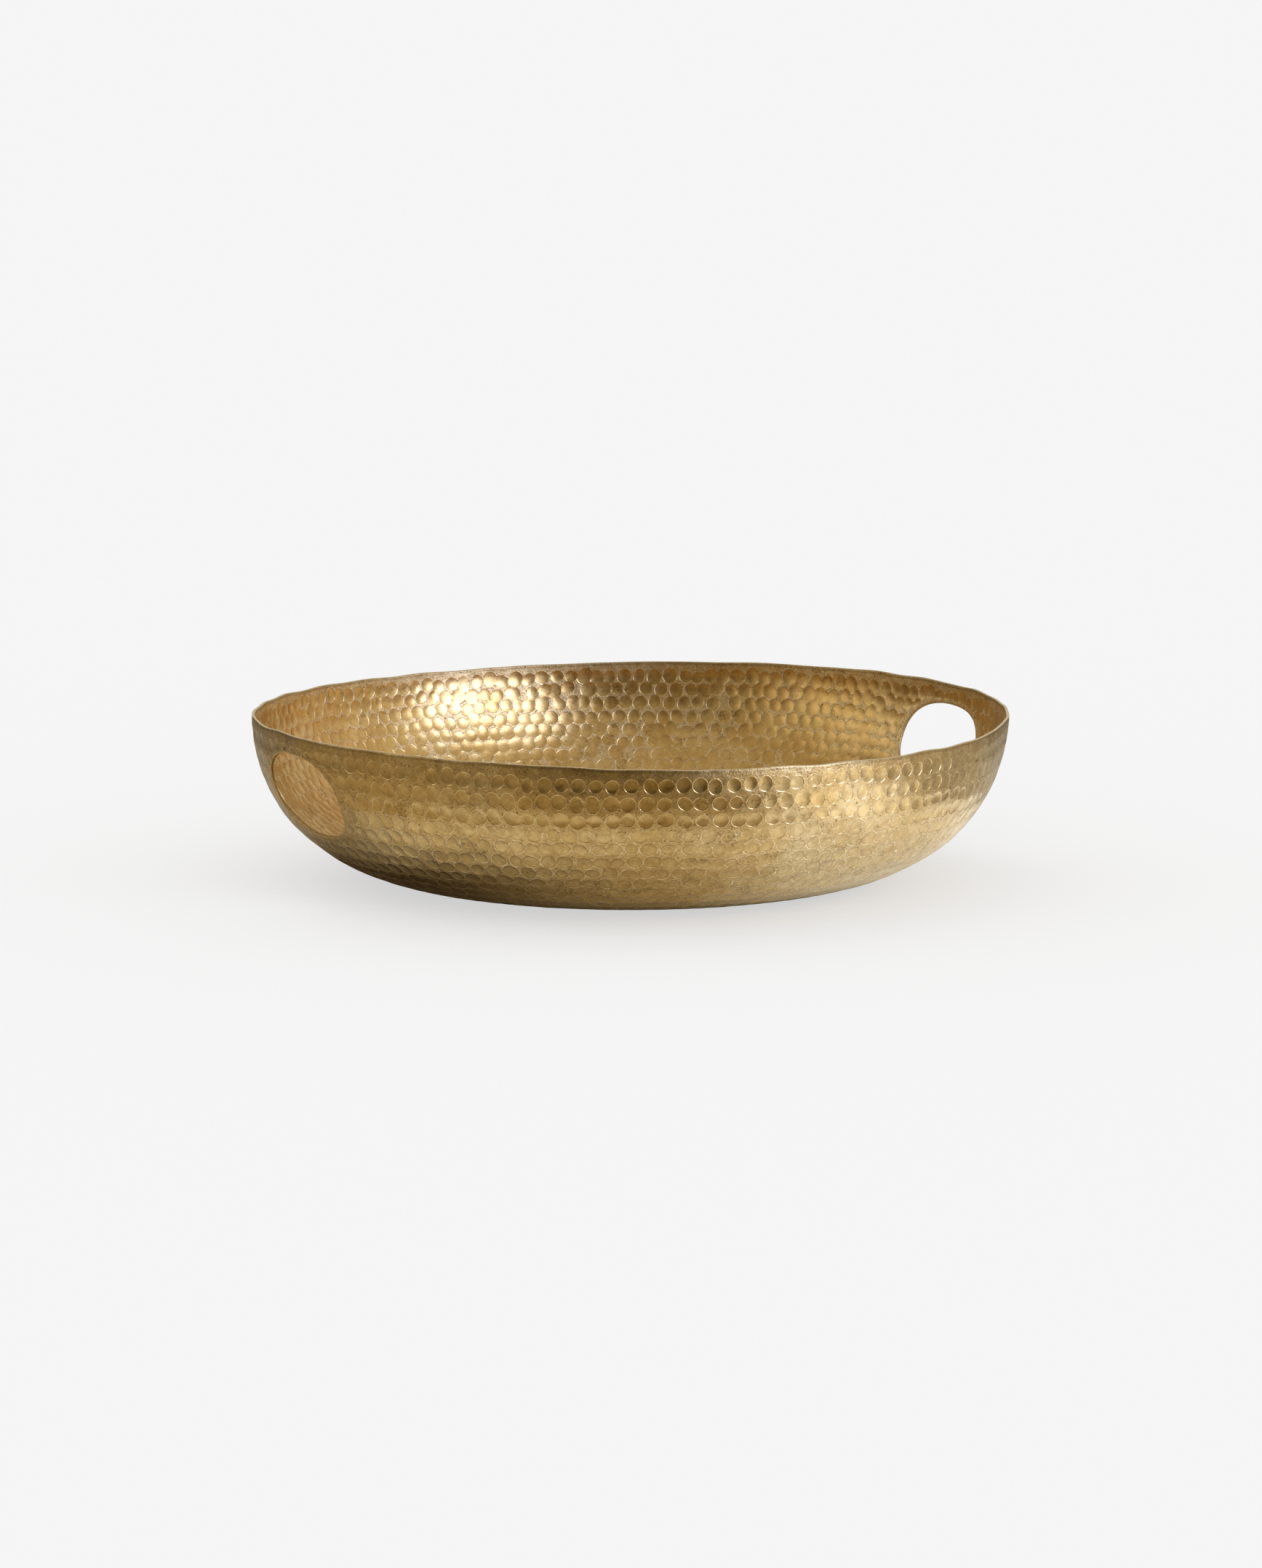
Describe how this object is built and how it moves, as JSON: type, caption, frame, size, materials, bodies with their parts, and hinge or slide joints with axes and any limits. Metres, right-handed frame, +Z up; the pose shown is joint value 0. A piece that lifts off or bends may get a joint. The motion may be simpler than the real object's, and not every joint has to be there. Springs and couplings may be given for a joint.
{
  "type": "tray",
  "caption": "Round high-walled tray raised from hammered brass sheet, with a flat base and an oval hand hole through the wall on each side.",
  "frame": {"origin": "on the tray's axis, in the plane that the base pads stand on", "axes": "+Z up along the tray's axis; +X and -X through the middles of the hand holes"},
  "size_m": [0.5, 0.5, 0.1098],
  "materials": {
    "brass": "satin, hammered, lightly aged",
    "rubber": "matt"
  },
  "bodies": {
    "root": {"tray_shell": "brass", "base_pad_1": "rubber", "base_pad_2": "rubber", "base_pad_3": "rubber", "base_pad_4": "rubber"}
  },
  "joints": []
}
